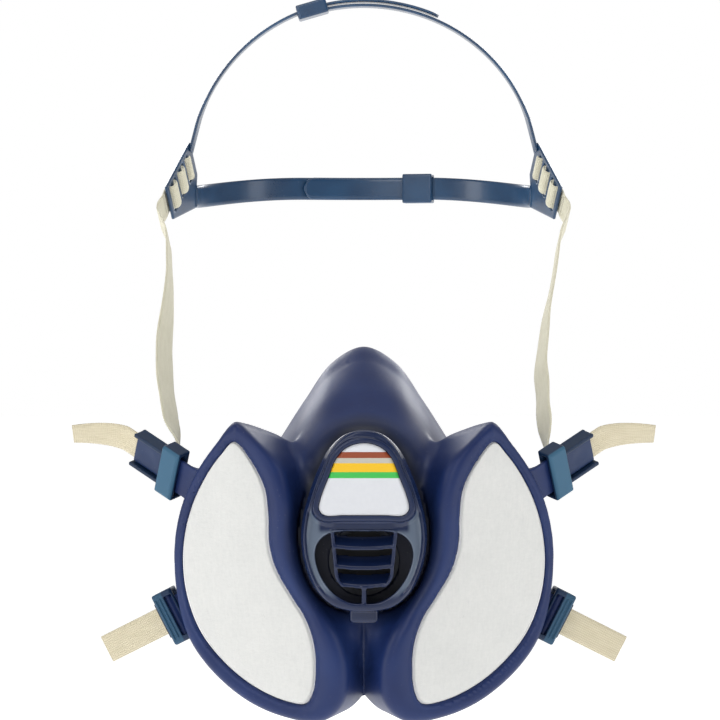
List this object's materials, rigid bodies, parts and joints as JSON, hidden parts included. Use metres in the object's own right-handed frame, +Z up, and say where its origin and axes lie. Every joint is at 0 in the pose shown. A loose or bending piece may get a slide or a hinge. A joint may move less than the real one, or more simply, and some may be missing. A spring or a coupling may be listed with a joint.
{
  "type": "respirator",
  "caption": "Blue half-mask respirator with white filter pods built in, a louvred exhalation cover, buckled elastic straps and a plastic head cradle.",
  "frame": {"origin": "centre of the opening that seals on the face, in the plane of the seal", "axes": "-Y is the way the wearer looks, +Z is up, +X is the wearer's left"},
  "size_m": [0.2578, 0.2699, 0.3312],
  "materials": {
    "soft_navy": "satin moulded elastomer",
    "gloss_navy": "gloss moulding",
    "label": "printed film",
    "felt": "soft filter felt",
    "case_grey": "moulded",
    "carbon": "granular",
    "silicone": "thin silicone",
    "buckle_teal": "satin moulding",
    "buckle_navy": "satin moulding",
    "cradle_blue": "glossy flexible plastic",
    "elastic": "woven elastic"
  },
  "bodies": {
    "mask": {"facepiece": "soft_navy", "cartridge_case_left": "case_grey", "cartridge_case_right": "case_grey", "carbon_bed_left": "carbon", "carbon_bed_right": "carbon", "filter_pad_left": "felt", "filter_pad_right": "felt", "inhalation_seat_left": "case_grey", "inhalation_seat_right": "case_grey", "exhalation_seat": "case_grey", "valve_cover": "gloss_navy", "label_plate": "label", "head_strap_left": "elastic", "head_strap_right": "elastic", "neck_strap_left": "elastic", "neck_strap_right": "elastic"},
    "exhalation_flap": {"exhalation_flap": "silicone"},
    "harness": {"cradle_left": "cradle_blue", "cradle_right": "cradle_blue", "strap_weave_left": "elastic", "strap_weave_right": "elastic"},
    "neck_clip": {"neck_clip_eye": "buckle_navy", "neck_clip_hook": "buckle_navy"},
    "inhalation_flap_left": {"inhalation_flap_left": "silicone"},
    "upper_buckle_left": {"upper_buckle_left": "buckle_teal"},
    "upper_lever_left": {"upper_lever_left": "buckle_navy"},
    "upper_tail_left": {"upper_tail_left": "elastic"},
    "lower_buckle_left": {"lower_buckle_left": "buckle_teal"},
    "lower_tail_left": {"lower_tail_left": "elastic"},
    "inhalation_flap_right": {"inhalation_flap_right": "silicone"},
    "upper_buckle_right": {"upper_buckle_right": "buckle_teal"},
    "upper_lever_right": {"upper_lever_right": "buckle_navy"},
    "upper_tail_right": {"upper_tail_right": "elastic"},
    "lower_buckle_right": {"lower_buckle_right": "buckle_teal"},
    "lower_tail_right": {"lower_tail_right": "elastic"}
  },
  "joints": [
    {"name": "exhalation_flap_lift", "type": "hinge", "parent": "mask", "child": "exhalation_flap", "pos_m": [0, -0.0724, 0.0076], "axis": [-1, 0, 0], "range_deg": [0, 12], "stiffness_Nm_per_rad": 0.001},
    {"name": "inhalation_flap_lift_left", "type": "hinge", "parent": "mask", "child": "inhalation_flap_left", "pos_m": [0.04128, -0.04741, 0.00458], "axis": [0.9063, 0.4226, 0], "range_deg": [0, 15], "stiffness_Nm_per_rad": 0.0003},
    {"name": "upper_buckle_swing_left", "type": "hinge", "parent": "mask", "child": "upper_buckle_left", "pos_m": [0.08351, -0.05059, 0.03145], "axis": [-0.1951, -0.5, 0.8438], "range_deg": [-10, 10]},
    {"name": "lever_lift_left", "type": "hinge", "parent": "upper_buckle_left", "child": "upper_lever_left", "pos_m": [0.08942, -0.04678, 0.03507], "axis": [0.1951, 0.5, -0.8438], "range_deg": [0, 50]},
    {"name": "upper_tail_pull_left", "type": "slide", "parent": "upper_buckle_left", "child": "upper_tail_left", "axis": [0.739, 0.4907, 0.4616], "range_m": [0, 0.012]},
    {"name": "lower_buckle_swing_left", "type": "hinge", "parent": "mask", "child": "lower_buckle_left", "pos_m": [0.08238, -0.04535, -0.03127], "axis": [0.4546, 0.0188, 0.8905], "range_deg": [-10, 10]},
    {"name": "lower_tail_pull_left", "type": "slide", "parent": "lower_buckle_left", "child": "lower_tail_left", "axis": [0.8499, 0.29, -0.44], "range_m": [0, 0.006]},
    {"name": "inhalation_flap_lift_right", "type": "hinge", "parent": "mask", "child": "inhalation_flap_right", "pos_m": [-0.04128, -0.04741, 0.00458], "axis": [0.9063, -0.4226, 0], "range_deg": [0, 15], "stiffness_Nm_per_rad": 0.0003},
    {"name": "upper_buckle_swing_right", "type": "hinge", "parent": "mask", "child": "upper_buckle_right", "pos_m": [-0.08351, -0.05059, 0.03145], "axis": [-0.1951, 0.5, -0.8438], "range_deg": [-10, 10]},
    {"name": "lever_lift_right", "type": "hinge", "parent": "upper_buckle_right", "child": "upper_lever_right", "pos_m": [-0.08942, -0.04678, 0.03507], "axis": [0.1951, -0.5, 0.8438], "range_deg": [0, 50]},
    {"name": "upper_tail_pull_right", "type": "slide", "parent": "upper_buckle_right", "child": "upper_tail_right", "axis": [-0.739, 0.4907, 0.4616], "range_m": [0, 0.012]},
    {"name": "lower_buckle_swing_right", "type": "hinge", "parent": "mask", "child": "lower_buckle_right", "pos_m": [-0.08238, -0.04535, -0.03127], "axis": [0.4546, -0.0188, -0.8905], "range_deg": [-10, 10]},
    {"name": "lower_tail_pull_right", "type": "slide", "parent": "lower_buckle_right", "child": "lower_tail_right", "axis": [-0.8499, 0.29, -0.44], "range_m": [0, 0.006]},
    {"name": "harness_height", "type": "slide", "parent": "mask", "child": "harness", "axis": [0, 0, 1], "range_m": [-0.012, 0], "deforming": ["head_strap_left", "head_strap_right"]},
    {"name": "neck_reach", "type": "slide", "parent": "mask", "child": "neck_clip", "axis": [0, 1, 0], "range_m": [-0.006, 0], "deforming": ["neck_strap_left", "neck_strap_right"]}
  ],
  "couplings": [
    {"joint": "upper_tail_pull_left", "follows": "harness_height", "ratio": -1},
    {"joint": "lower_tail_pull_left", "follows": "neck_reach", "ratio": -1},
    {"joint": "upper_tail_pull_right", "follows": "harness_height", "ratio": -1},
    {"joint": "lower_tail_pull_right", "follows": "neck_reach", "ratio": -1}
  ]
}
